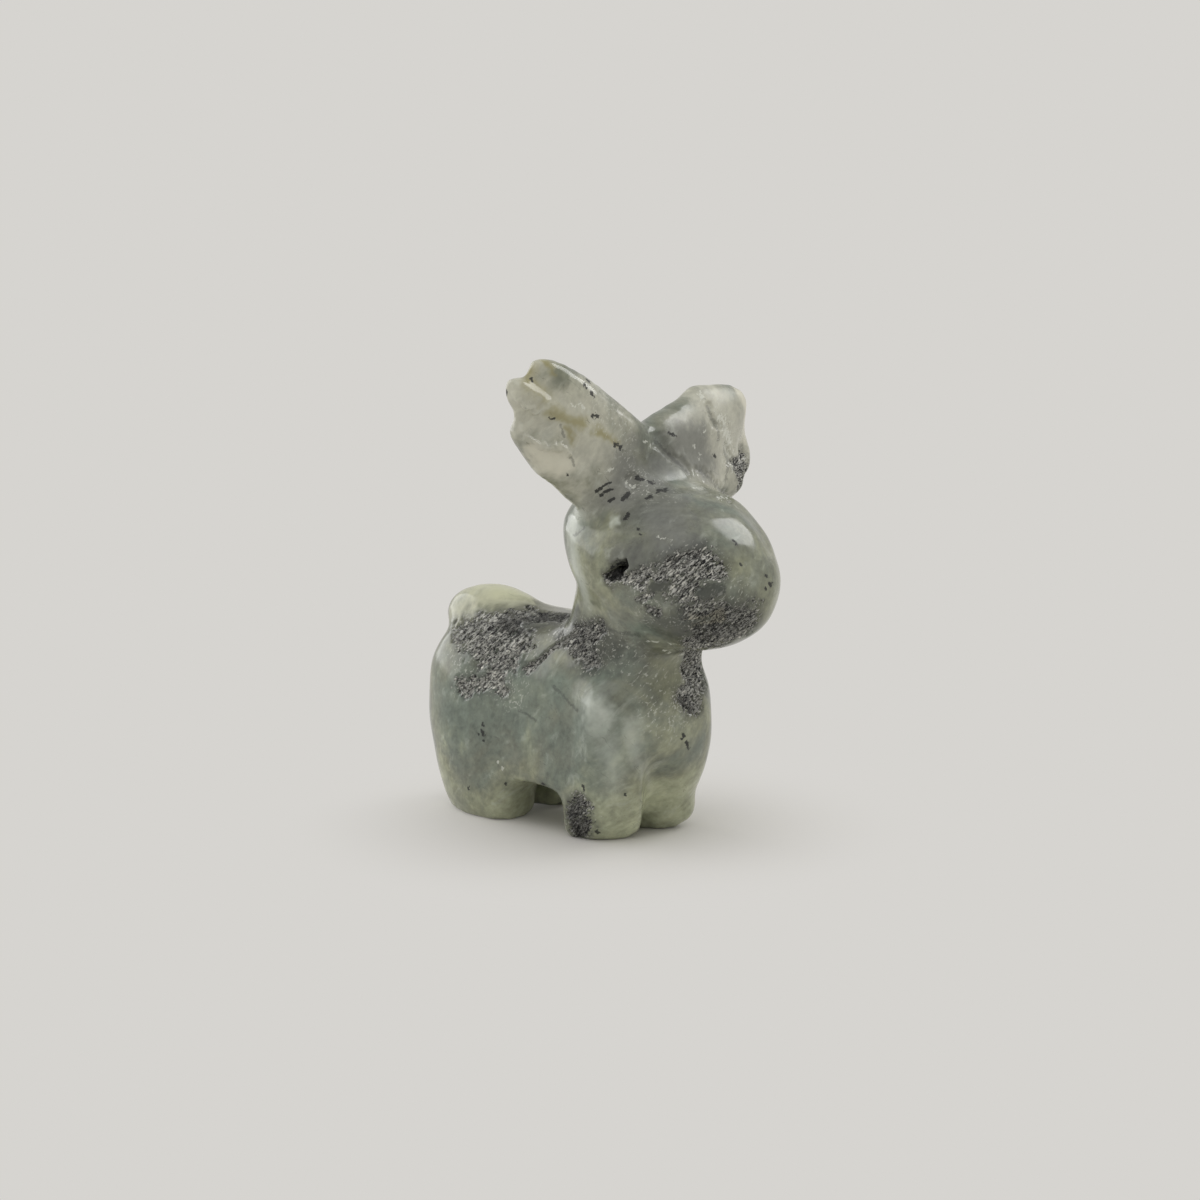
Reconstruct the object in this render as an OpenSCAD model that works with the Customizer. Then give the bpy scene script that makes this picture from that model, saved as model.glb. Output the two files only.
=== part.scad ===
// Reindeer carving: a pocket figure cut and polished from one piece of labradorite.
// +X is forward, +Y is the animal's left, +Z is up, and the feet stand on z = 0.
// The stone is whole. Each region ends on the surface of its larger neighbour, with no gap and no overlap.

/* [Body] */
// Length of the body at its fullest
body_len = 27.4; // [20:0.2:34]
// Width of the body at its fullest
body_width = 14; // [11:0.2:18]
// Length over the feet
stance_len = 20.6; // [18:0.2:26]
// Setback of the feet from the body centre
stance_back = 0.8; // [0:0.1:2]
// Width over the feet
stance_width = 13; // [10:0.2:16]
// Height of the fullest section
flank_height = 9.4; // [7:0.2:12]
// Height of the back
back_height = 17.8; // [15:0.2:22]
// Squareness of the body seen from above
body_square = 3.2; // [2:0.1:4]
// Squareness of the back seen from the side
back_square = 3; // [2:0.1:4]
// Depth of the hollow in each flank, between haunch and shoulder
waist_depth = 0.6; // [0:0.1:1]

/* [Legs] */
// Height of the belly above the ground
belly_height = 4; // [3:0.1:5.5]
// Length of each forefoot
fore_foot_len = 5.4; // [4:0.1:7]
// Length of the arch between forefoot and hind foot
arch_len = 6.2; // [4:0.1:8]
// Width of the gap between left and right feet
leg_gap = 1; // [0.8:0.1:2.5]
// Rounded lower edge of the feet
foot_edge = 0.8; // [0.3:0.1:1.5]
// Squareness of each leg
leg_square = 3; // [2.5:0.1:5]
// Share of arch and gap closed at the belly
arch_round = 0.5; // [0.1:0.05:0.8]

/* [Neck] */
// Foot of the neck ahead of the body centre
neck_ahead = 6.8; // [5:0.2:9]
// Thickness of the neck, front to back
neck_len = 12.2; // [9:0.2:13]
// Width of the neck
neck_width = 10.4; // [8:0.2:12]

/* [Head] */
// Head centre ahead of the body centre
head_ahead = 11.9; // [10:0.2:15]
// Head centre above the back
head_above = 6.2; // [5:0.2:8]
// Length of the head
head_len = 17.6; // [15:0.2:22]
// Width of the head
head_width = 15; // [12:0.2:19]
// Height of the crown above the head centre
crown_rise = 6.2; // [5:0.1:8]
// Depth of the chin below the head centre
chin_drop = 7.3; // [6:0.1:9]
// Forward lean of the face for each unit of depth
head_lean = 0.36; // [0:0.02:0.6]
// Squareness of the head seen from above
head_square = 2.5; // [2:0.1:3]
// Squareness of the crown
crown_square = 2.5; // [2:0.1:4]
// Squareness of the chin
chin_square = 2.1; // [2:0.1:3]

/* [Antlers] */
// Antlers behind the head centre
antler_behind = 3; // [2:0.2:5]
// Backward sweep in degrees
antler_sweep = 6; // [0:1:15]
// Thickness of the antlers
antler_thick = 4.4; // [3:0.1:6]
// Rise of the right antler in degrees
right_rise = 36; // [20:1:50]
// Root of the right antler above the head centre
right_above = 5; // [4:0.2:7]
// Reach of the right antler from the middle plane
right_reach = 19; // [14:0.2:20]
// Setback of the lower corner of the right antler behind the upper one
right_slant = 1.8; // [-2:0.1:2]
// Breadth of the right antler
right_breadth = 9.3; // [7:0.2:12]
// Rise of the left antler in degrees
left_rise = 17; // [5:1:40]
// Root of the left antler above the head centre
left_above = 5; // [4:0.2:7]
// Reach of the left antler from the middle plane
left_reach = 16.6; // [13:0.2:19]
// Setback of the lower corner of the left antler behind the upper one
left_slant = 1.5; // [-2:0.1:2]
// Breadth of the left antler
left_breadth = 11.8; // [8:0.2:14]
// Tines on the right antler
right_tines = 3; // [2:1:4]
// Tines on the left antler
left_tines = 2; // [2:1:4]
// Setback of the corners of the tine edge
tine_corner = 7; // [3:0.2:8]
// Depth of the notches between the tines
tine_notch = 1.1; // [0:0.1:1.6]
// Depth of the grooves that run in from the notches, on each face
tine_groove = 0.8; // [0:0.1:1.2]

/* [Tail] */
// Tail centre behind the body centre
tail_behind = 8.4; // [6:0.2:10]
// Tail centre below the top of the back
tail_below = 1.2; // [0.2:0.1:2]
// Length of the tail
tail_len = 10.4; // [8:0.2:13]
// Width of the tail
tail_width = 6.4; // [5:0.2:8]
// Depth of the tail
tail_depth = 5.4; // [4.4:0.1:7]
// Upward tilt of the tail's front in degrees
tail_tilt = 4; // [-10:1:15]
// Share of the tail's girth lost towards its front
tail_taper = 0.15; // [0:0.05:0.3]

/* [Hidden] */
stone = [0.47, 0.5, 0.46];
pale_stone = [0.58, 0.59, 0.5];
x_dir = [1, 0, 0];
y_dir = [0, 1, 0];
head_height = back_height + head_above;
hind_foot_len = stance_len - fore_foot_len - arch_len;

// Points in one outline of a large, a middling and a small region
large_points = 36;
middle_points = 28;
small_points = 24;

// Distance by which a cutting shape runs past the shape that it cuts
overrun = 0.6;

// Depth at which the neck starts inside the body, and its share of the body's half sizes there
neck_sink = 4.5;
neck_seat = 0.88;

// Share of the way to the head centre over which the neck leans forward
neck_lean = 0.7;

// Quickness of the neck's blend into the shoulders
shoulder_blend = 1.25;

// Run of the antler roots past the middle plane, where they are cut
root_overlap = 4;

// Squareness of an antler across its breadth and round its edge
antler_square = 2.5;

// Signed power, which squares off an oval
function spow(v, p) = sign(v) * pow(abs(v), p);

// Half width of a rounded end, with s from 0 at its root to 1 at its tip
function round_end(s, p) = pow(max(0, 1 - pow(abs(s), p)), 1 / p);

// Closed outline of k points about c, with half sizes hu and hv along u and v
function oval(c, u, v, hu, hv, n, k) =
    [for (i = [0 : k - 1])
        c + u * hu * spow(cos(360 * i / k), 2 / n) + v * hv * spow(sin(360 * i / k), 2 / n)];

// Half length and half width of the body at height z
function narrowing(z) = pow(max(0, flank_height - z) / flank_height, 2);
function closing(z) = round_end(max(0, z - flank_height) / (back_height - flank_height), back_square);
function half_len(z) = (body_len - (body_len - stance_len) * narrowing(z)) / 2 * closing(z);
function half_width(z) = (body_width - (body_width - stance_width) * narrowing(z)) / 2 * closing(z);
function centre_x(z) = -stance_back * narrowing(z);

// Share of the width left at distance x from the middle of a section of half length h
function waist(x, h) = 1 - 2 * waist_depth / body_width * pow(max(0, 1 - pow(x / h, 2)), 2);

// Outline of the body at height z, drawn in by inset
function body_ring(z, inset) =
    let (h = half_len(z), w = half_width(z))
    [for (p = oval([0, 0, z], x_dir, y_dir, h - inset, w - inset, body_square, large_points))
        [centre_x(z) + p[0], p[1] * waist(p[0], h), z]];

torso_rings = concat(
    [for (i = [0 : 4]) body_ring(belly_height + (flank_height - belly_height) * i / 5, 0)],
    [for (t = [0 : 8 : 88]) body_ring(flank_height + (back_height - flank_height) * sin(t), 0)]);

// Rounding of a foot's lower edge at height z
function sole(z) = foot_edge * (1 - round_end(max(0, foot_edge - z) / foot_edge, 2));

// Closing of the arch at height z, from 0 low down to arch_round at the belly
function arch(z) = arch_round * (1 - sqrt(1 - pow(min(1, max(0, z) / belly_height), 4)));

// Heights at which a foot is drawn
foot_levels = [0, 0.15 * foot_edge, 0.4 * foot_edge, foot_edge];
leg_levels = [for (s = [0.5, 0.7, 0.85, 0.95, 1]) s * belly_height];

head_rings = [for (t = [-80 : 10 : 80])
    let (s = sin(t),
         f = round_end(s, s > 0 ? crown_square : chin_square),
         above = s * (s > 0 ? crown_rise : chin_drop))
    oval([head_ahead - head_lean * above, 0, head_height + above], x_dir, y_dir,
        head_len / 2 * f, head_width / 2 * f, head_square, large_points)];

// Blend of the neck's foot into the shoulders, with s from 0 at the foot to 1 inside the head
function shoulder(s) = pow(1 - min(1, shoulder_blend * s), 2);

neck_rings = let (low = back_height - neck_sink,
        rise = head_height - low,
        lean = (head_ahead - neck_ahead) * neck_lean,
        foot_len = max(neck_len / 4, half_len(low) * neck_seat - neck_ahead),
        foot_width = half_width(low) * neck_seat)
    [for (s = [0 : 0.1 : 1])
        oval([neck_ahead + lean * s, 0, low + rise * s], x_dir, y_dir,
            neck_len / 2 + (foot_len - neck_len / 2) * shoulder(s),
            neck_width / 2 + (foot_width - neck_width / 2) * shoulder(s), head_square, middle_points)];

// Share of a notch at w, which runs from -1 at the lower to 1 at the upper corner of the tine edge
function notch(w, tines) = 0.5 + 0.5 * cos(180 * tines * (w + 1));
function tine_edge(w, reach, slant, tines) =
    reach - slant * (1 - w) / 2 - tine_corner * (1 - round_end(w, 2)) - tine_notch * notch(w, tines);

// One antler, drawn as outlines across its breadth; side is 1 for left and -1 for right
function antler_rings(side, above, rise, reach, slant, breadth, tines) =
    let (out = [-sin(antler_sweep), side * cos(antler_sweep), 0],
         along = out * cos(rise) + [0, 0, sin(rise)],
         across = [0, 0, cos(rise)] - out * sin(rise),
         through = [-side * cos(antler_sweep), -sin(antler_sweep), 0],
         root = [head_ahead - antler_behind, 0, head_height + above])
    [for (t = [-80 : 5 : 80])
        let (w = sin(t), tip = tine_edge(w, reach, slant, tines), half = (tip + root_overlap) / 2,
             middle = root + across * w * breadth / 2 + along * (tip - half),
             plump = round_end(w, antler_square))
        [for (i = [0 : small_points - 1])
            let (a = 360 * i / small_points,
                 outward = spow(cos(a), 2 / antler_square),
                 groove = tine_groove * notch(w, tines) * pow((1 + outward) / 2, 2),
                 thick = (antler_thick / 2 - groove) * plump)
            middle + along * half * outward + through * thick * spow(sin(a), 2 / antler_square)]];

left_rings = antler_rings(1, left_above, left_rise, left_reach, left_slant, left_breadth, left_tines);
right_rings = antler_rings(-1, right_above, right_rise, right_reach, right_slant, right_breadth, right_tines);

tail_rings = let (along = [cos(tail_tilt), 0, sin(tail_tilt)], up = [-sin(tail_tilt), 0, cos(tail_tilt)])
    [for (t = [-80 : 10 : 80])
        let (s = sin(t), girth = round_end(s, 2) * (1 - tail_taper * s))
        oval([-tail_behind, 0, back_height - tail_below] + along * s * tail_len / 2, y_dir, up,
            tail_width / 2 * girth, tail_depth / 2 * girth, 2, small_points)];

// Largest and smallest coordinate of a set of outlines
function highest(rings, axis) = max([for (r = rings, p = r) p[axis]]);
function lowest(rings, axis) = min([for (r = rings, p = r) p[axis]]);

// The origin lies under the middle of the whole figure's box
middle_x = (min(lowest(torso_rings, 0), lowest(tail_rings, 0)) + highest(head_rings, 0)) / 2;
middle_y = (lowest(right_rings, 1) + highest(left_rings, 1)) / 2;

// Half the side of the cube that takes away the other half of an antler
far = 2 * (left_reach + right_reach);

// Skin over a row of outlines with equal point counts, closed by flat ends
module loft(rings) {
    k = len(rings[0]);
    m = len(rings);
    ends = [[for (j = [0 : k - 1]) j], [for (j = [0 : k - 1]) m * k - 1 - j]];
    sides = [for (i = [0 : m - 2], j = [0 : k - 1])
        let (low = i * k, high = low + k, next = (j + 1) % k)
        each [[low + j, high + next, low + next], [low + j, high + j, high + next]]];
    translate([-middle_x, -middle_y, 0])
        polyhedron(points = [for (r = rings, p = r) p], faces = concat(ends, sides), convexity = 6);
}

// Column around one leg, whose inner faces make the arch and the gap
module leg_column(fore, side, foot_len) {
    loft([for (z = concat([-overrun], foot_levels, leg_levels, [belly_height + overrun]))
        let (inner_x = stance_len / 2 - foot_len - arch_len / 2 * arch(z) + sole(max(0, z)),
             inner_y = leg_gap / 2 * (1 - arch(z)) + sole(max(0, z)),
             outer_x = half_len(z),
             outer_y = half_width(z),
             middle = [centre_x(z) + fore * (inner_x + outer_x) / 2, side * (inner_y + outer_y) / 2, z])
        oval(middle, x_dir, y_dir,
            (outer_x - inner_x) / 2, (outer_y - inner_y) / 2, leg_square, middle_points)]);
}

// One leg: the body carried down to the ground inside the leg's column
module leg(fore, side, foot_len) {
    color(stone) intersection() {
        loft([for (z = concat(foot_levels, leg_levels)) body_ring(z, sole(z))]);
        leg_column(fore, side, foot_len);
    }
}

// One antler, ended at the middle plane and at the head
module antler(side, rings) {
    color(pale_stone) difference() {
        loft(rings);
        translate([-far, side > 0 ? -2 * far - middle_y : -middle_y, -far]) cube(2 * far);
        loft(head_rings);
    }
}

module torso() {
    color(stone) loft(torso_rings);
}

module head() {
    color(stone) difference() {
        loft(head_rings);
        loft(torso_rings);
    }
}

module neck() {
    color(stone) difference() {
        loft(neck_rings);
        loft(torso_rings);
        loft(head_rings);
    }
}

module antler_left() {
    antler(1, left_rings);
}

module antler_right() {
    antler(-1, right_rings);
}

module tail() {
    color(pale_stone) difference() {
        loft(tail_rings);
        loft(torso_rings);
    }
}

module fore_leg_left() {
    leg(1, 1, fore_foot_len);
}

module fore_leg_right() {
    leg(1, -1, fore_foot_len);
}

module hind_leg_left() {
    leg(-1, 1, hind_foot_len);
}

module hind_leg_right() {
    leg(-1, -1, hind_foot_len);
}

torso();
neck();
head();
antler_left();
antler_right();
tail();
fore_leg_left();
fore_leg_right();
hind_leg_left();
hind_leg_right();
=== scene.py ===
import math

import bmesh
import bpy
import numpy as np
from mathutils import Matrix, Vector, noise as fractal
from mathutils.bvhtree import BVHTree


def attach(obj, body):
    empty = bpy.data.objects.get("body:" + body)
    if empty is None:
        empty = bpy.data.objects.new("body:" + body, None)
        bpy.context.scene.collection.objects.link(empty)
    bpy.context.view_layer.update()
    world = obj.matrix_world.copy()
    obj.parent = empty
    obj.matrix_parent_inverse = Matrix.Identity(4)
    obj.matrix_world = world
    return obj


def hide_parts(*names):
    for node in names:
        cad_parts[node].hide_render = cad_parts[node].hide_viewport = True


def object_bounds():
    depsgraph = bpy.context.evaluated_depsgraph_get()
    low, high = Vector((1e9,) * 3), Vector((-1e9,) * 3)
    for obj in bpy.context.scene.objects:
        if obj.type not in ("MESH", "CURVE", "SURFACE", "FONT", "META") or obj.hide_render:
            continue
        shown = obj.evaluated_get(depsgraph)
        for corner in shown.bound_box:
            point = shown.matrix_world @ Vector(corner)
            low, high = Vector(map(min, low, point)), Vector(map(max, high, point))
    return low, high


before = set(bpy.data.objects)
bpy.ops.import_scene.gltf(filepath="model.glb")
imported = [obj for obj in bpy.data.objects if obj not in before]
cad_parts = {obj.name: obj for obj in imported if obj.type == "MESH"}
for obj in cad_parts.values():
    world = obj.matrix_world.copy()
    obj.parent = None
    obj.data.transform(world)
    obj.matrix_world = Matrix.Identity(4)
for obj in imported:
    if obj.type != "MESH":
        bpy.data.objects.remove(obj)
cadBox = [list(corner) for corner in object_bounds()]
mm = 0.001

bpy.context.scene.view_settings.view_transform = "Standard"


def direction(azimuth, elevation):
    across, up = math.radians(azimuth), math.radians(elevation)
    return Vector((math.sin(across) * math.cos(up), -math.cos(across) * math.cos(up), math.sin(up)))


# Camera, where the photograph was taken from: millimetres, and metres for the depth that it sees
view = {"azimuth": 42.99, "elevation": 10.28, "target": (0.03, -0.12, 19.41), "distance": 300,
        "pixelsPerMm": 11.78, "framePixels": 1200, "sensor": 36, "depth": (0.01, 20)}


def placeCamera():
    back = direction(view["azimuth"], view["elevation"])
    lens = bpy.data.cameras.new("photoCamera")
    lens.sensor_width = view["sensor"]
    lens.lens = view["sensor"] * view["pixelsPerMm"] * view["distance"] / view["framePixels"]
    lens.clip_start, lens.clip_end = view["depth"]
    camera = bpy.data.objects.new("photoCamera", lens)
    camera.location = (Vector(view["target"]) + back * view["distance"]) * mm
    camera.rotation_euler = back.to_track_quat("Z", "Y").to_euler()
    bpy.context.collection.objects.link(camera)
    bpy.context.scene.camera = camera


placeCamera()
print("camera placed")

# The carver's regions of the stone: the piece that shows each one, and its finish
regions = {
    "torso": ("torsoStone", "stone"),
    "neck": ("neckStone", "stone"),
    "head": ("headStone", "stone"),
    "antler_left": ("leftAntlerStone", "pale_stone"),
    "antler_right": ("rightAntlerStone", "pale_stone"),
    "tail": ("tailStone", "pale_stone"),
    "fore_leg_left": ("leftForelegStone", "stone"),
    "fore_leg_right": ("rightForelegStone", "stone"),
    "hind_leg_left": ("leftHindLegStone", "stone"),
    "hind_leg_right": ("rightHindLegStone", "stone"),
}

# Carved form: the regions melted into one stone with its creases ground round; lengths in millimetres
form = {
    "voxel": 0.5, "weld": 0.0005, "levels": 2, "soleBand": 0.35,
    "fillPasses": 18, "fill": 0.5, "easePasses": 70, "easeEdge": 2,
    "polishPasses": 14, "polishShares": (0.5, -0.52),  # forth and back, so that the stone doesn't shrink
    "neckBias": 0.5, "votes": 6, "ownVote": 1.5, "borderPasses": 24, "borderPull": 0.5,
}

# Notch ground between the forelegs, in millimetres:
# at each height the inner edge, then the right and left front corners
notch = {
    -1: ((4.9, -0.2), (11.6, -7.4), (12, 7.4)),
    2: ((4.9, -0.2), (11.6, -7.4), (12, 7.4)),
    8.5: ((8.6, -4.15), (11.95, -7.75), (12.4, 7.9)),
}

# Strokes run from one point to another with a width, in millimetres;
# these soften creases, and then raise or sink the surface by a last number
easing = [
    ((7.4, -8, 29), (7.4, 8, 29), 4.5), ((2, -5.5, 19), (10, -5, 18), 3.4),
    ((2, 5.5, 19), (10, 5, 18), 3.4),
]
swells = [
    ((5.2, -6.1, 12), (4.2, -5.9, 2.5), 3, 0.5), ((5.2, 6.3, 12), (4.2, 6.1, 2.5), 3, 0.5),
    ((5.8, -6.7, 12.4), (5.4, -6.5, 8), 1.8, 0.35), ((5.8, 6.9, 12.4), (5.4, 6.7, 8), 1.8, 0.35),
    ((-10.5, -6.3, 9), (-9.5, -6.1, 3.5), 5, 0.3), ((-10.5, 6.5, 9), (-9.5, 6.3, 3.5), 5, 0.3),
    ((7, 3.6, 1), (6.6, 4.8, 1), 2.4, 1), ((14, 4.2, 27.6), (15.6, 4.2, 25.8), 3, -0.4),
    ((3.9, -14.2, 36.6), (5, -11.6, 35.8), 1.3, -0.4), ((4.2, -13, 39.4), (5, -11.4, 38.6), 1.2, -0.4),
    ((2.4, -14.2, 36.6), (2, -9, 35), 1.3, -0.5), ((2.6, -13, 39.4), (2.2, -9, 37.4), 1.2, -0.45),
    ((3.8, -14.3, 38.9), (3.8, -14.3, 38.3), 1.8, 0.45), ((4, -13.6, 34.7), (4.2, -11.5, 32.2), 1.6, 0.25),
    ((5, 12.6, 31.4), (2.6, 12.6, 31.4), 1.4, -0.7), ((4.7, 7, 37.1), (3, 7, 37.1), 2.2, 0.35),
    ((5.4, 11, 28.8), (3.4, 11, 28.8), 1.8, 0.5),
]


def strokeField(points, start, end, width):
    start, run = np.array(start), np.array(end) - np.array(start)
    along = np.clip(((points - start) @ run) / max(run @ run, 1e-9), 0, 1)
    return 1 - np.linalg.norm(points - start - along[:, None] * run, axis=1) / width


def easedStep(values):
    values = np.clip(values, 0, 1)
    return values * values * (3 - 2 * values)


def readValues(items, key, kind=float, width=1):
    values = np.empty(len(items) * width, kind)
    items.foreach_get(key, values)
    return values if width == 1 else values.reshape(-1, width)


def readPoints(mesh):
    return readValues(mesh.vertices, "co", width=3)


def writePoints(mesh, points):
    mesh.vertices.foreach_set("co", points.ravel())
    mesh.update()


def keepInBox(points):
    lowest, highest = np.array(cadBox) / mm
    return np.clip(points, lowest, highest)


def readNormals(mesh):
    return readValues(mesh.vertex_normals, "vector", width=3)


def readEdges(mesh):
    return readValues(mesh.edges, "vertices", int, 2)


def facesBesideEdges(mesh):
    order = np.argsort(readValues(mesh.loops, "edge_index", int), kind="stable")
    return (order // 4).reshape(-1, 2)  # four corners to a face, two faces to an edge


def neighbourMean(values, edges, counts):
    total = np.empty_like(values)
    for column in range(values.shape[1]):
        total[:, column] = (np.bincount(edges[:, 0], values[edges[:, 1], column], len(values))
                            + np.bincount(edges[:, 1], values[edges[:, 0], column], len(values)))
    return total / counts[:, None]


def applyModifiers(piece):
    graph = bpy.context.evaluated_depsgraph_get()
    done = bpy.data.meshes.new_from_object(piece.evaluated_get(graph))
    old = piece.data
    piece.modifiers.clear()
    piece.data = done
    bpy.data.meshes.remove(old)


def notchWedge():
    corners = [(x, y, height) for height, level in notch.items() for x, y in level]
    sides = [(base + i, base + (i + 1) % 3, base + 3 + (i + 1) % 3, base + 3 + i)
             for base in (0, 3) for i in range(3)]
    mesh = bpy.data.meshes.new("notchWedge")
    mesh.from_pydata(corners, [], [(2, 1, 0), (6, 7, 8), *sides])
    wedge = bpy.data.objects.new("notchWedge", mesh)
    bpy.context.collection.objects.link(wedge)
    return wedge


def addMelt(whole, name):
    melt = whole.modifiers.new(name, "REMESH")
    melt.mode = "VOXEL"
    melt.voxel_size = form["voxel"]


def meltRegions():
    joined = bmesh.new()
    trees = []
    for name in regions:
        shape = bmesh.new()
        shape.from_mesh(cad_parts[name].data)
        bmesh.ops.scale(shape, vec=(1 / mm,) * 3, verts=shape.verts)
        bmesh.ops.remove_doubles(shape, verts=shape.verts, dist=form["weld"])
        trees.append(BVHTree.FromBMesh(shape))
        copy = bpy.data.meshes.new(name + "Copy")
        shape.to_mesh(copy)
        joined.from_mesh(copy)
        bpy.data.meshes.remove(copy)
        shape.free()
    mesh = bpy.data.meshes.new("wholeStone")
    joined.to_mesh(mesh)
    joined.free()
    whole = bpy.data.objects.new("wholeStone", mesh)
    bpy.context.collection.objects.link(whole)
    wedge = notchWedge()
    addMelt(whole, "melt")
    saw = whole.modifiers.new("saw", "BOOLEAN")
    saw.operation, saw.solver, saw.object = "DIFFERENCE", "EXACT", wedge
    addMelt(whole, "meltAgain")
    applyModifiers(whole)
    bpy.data.objects.remove(wedge)
    return whole, trees


def grindCreases(mesh):
    edges, points = readEdges(mesh), readPoints(mesh)
    counts = np.bincount(edges.ravel(), minlength=len(points))
    soft = np.max([strokeField(points, *stroke) for stroke in easing], axis=0)
    eased = easedStep(form["easeEdge"] * soft)[:, None]
    for step in range(form["fillPasses"] + form["easePasses"]):
        normals = readNormals(mesh)
        pull = neighbourMean(points, edges, counts) - points
        outward = (pull * normals).sum(1, keepdims=True)
        share = 1 if step < form["fillPasses"] else eased
        pull = pull - normals * np.minimum(outward, 0)  # only hollows fill up
        points = points + share * form["fill"] * pull
        writePoints(mesh, points)
    for start, end, width, rise in swells:
        swell = rise * easedStep(strokeField(points, start, end, width))
        points = points + swell[:, None] * readNormals(mesh)
    writePoints(mesh, points)
    for step in range(form["polishPasses"]):
        for share in form["polishShares"]:
            points = points + share * (neighbourMean(points, edges, counts) - points)
    points = keepInBox(points)
    points[points[:, 2] < form["soleBand"], 2] = 0  # flat soles
    writePoints(mesh, points)


def nearestRegions(mesh, trees):
    bias = [form["neckBias"] if name == "neck" else 0 for name in regions]
    nearest = []
    for face in mesh.polygons:
        away = [tree.find_nearest(face.center)[3] - less for tree, less in zip(trees, bias)]
        nearest.append(away.index(min(away)))
    return np.array(nearest)


def markRegions(mesh, trees):
    label = nearestRegions(mesh, trees)
    beside = facesBesideEdges(mesh)
    for step in range(form["votes"]):  # each face goes with most of its neighbours
        votes = np.zeros((len(label), len(regions)))
        np.add.at(votes, (beside[:, 0], label[beside[:, 1]]), 1)
        np.add.at(votes, (beside[:, 1], label[beside[:, 0]]), 1)
        votes[np.arange(len(label)), label] += form["ownVote"]
        label = votes.argmax(1)
    border = readEdges(mesh)[label[beside[:, 0]] != label[beside[:, 1]]]
    points, normals = readPoints(mesh), readNormals(mesh)
    counts = np.bincount(border.ravel(), minlength=len(points))
    onBorder = (counts == 2)[:, None]
    for step in range(form["borderPasses"]):  # borders slide along the surface into even curves
        pull = np.where(onBorder, neighbourMean(points, border, np.maximum(counts, 1)) - points, 0)
        points = points + form["borderPull"] * (pull - normals * (pull * normals).sum(1, keepdims=True))
    writePoints(mesh, points)
    region = mesh.attributes.new("region", "INT", "FACE")
    region.data.foreach_set("value", label.astype(np.int32))
    return label


# Flat map of each region: degrees, then shares of the map; the cuts lie in a strip along its foot
flatMap = {"angle": 66, "margin": 0.012, "strip": 0.045,
           "cutMiddle": 0.02, "cutRadius": 0.018, "cutPlaces": 8}


def unwrapRegions(whole, label):
    whole.data.uv_layers.new(name="OFBake")
    bpy.context.view_layer.objects.active = whole
    for index in range(len(regions)):
        bpy.ops.object.mode_set(mode="EDIT")
        bpy.ops.mesh.select_mode(type="FACE")
        bpy.ops.object.mode_set(mode="OBJECT")
        whole.data.polygons.foreach_set("select", label == index)
        bpy.ops.object.mode_set(mode="EDIT")
        bpy.ops.uv.smart_project(angle_limit=math.radians(flatMap["angle"]), island_margin=flatMap["margin"])
        bpy.ops.object.mode_set(mode="OBJECT")


whole, nodeTrees = meltRegions()
grindCreases(whole.data)
regionOfFace = markRegions(whole.data, nodeTrees)
unwrapRegions(whole, regionOfFace)
print("form ground from", len(whole.data.polygons), "faces")
smooth = whole.modifiers.new("smooth", "SUBSURF")
smooth.levels = smooth.render_levels = form["levels"]
applyModifiers(whole)
print("form smoothed to", len(whole.data.polygons), "faces")

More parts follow.
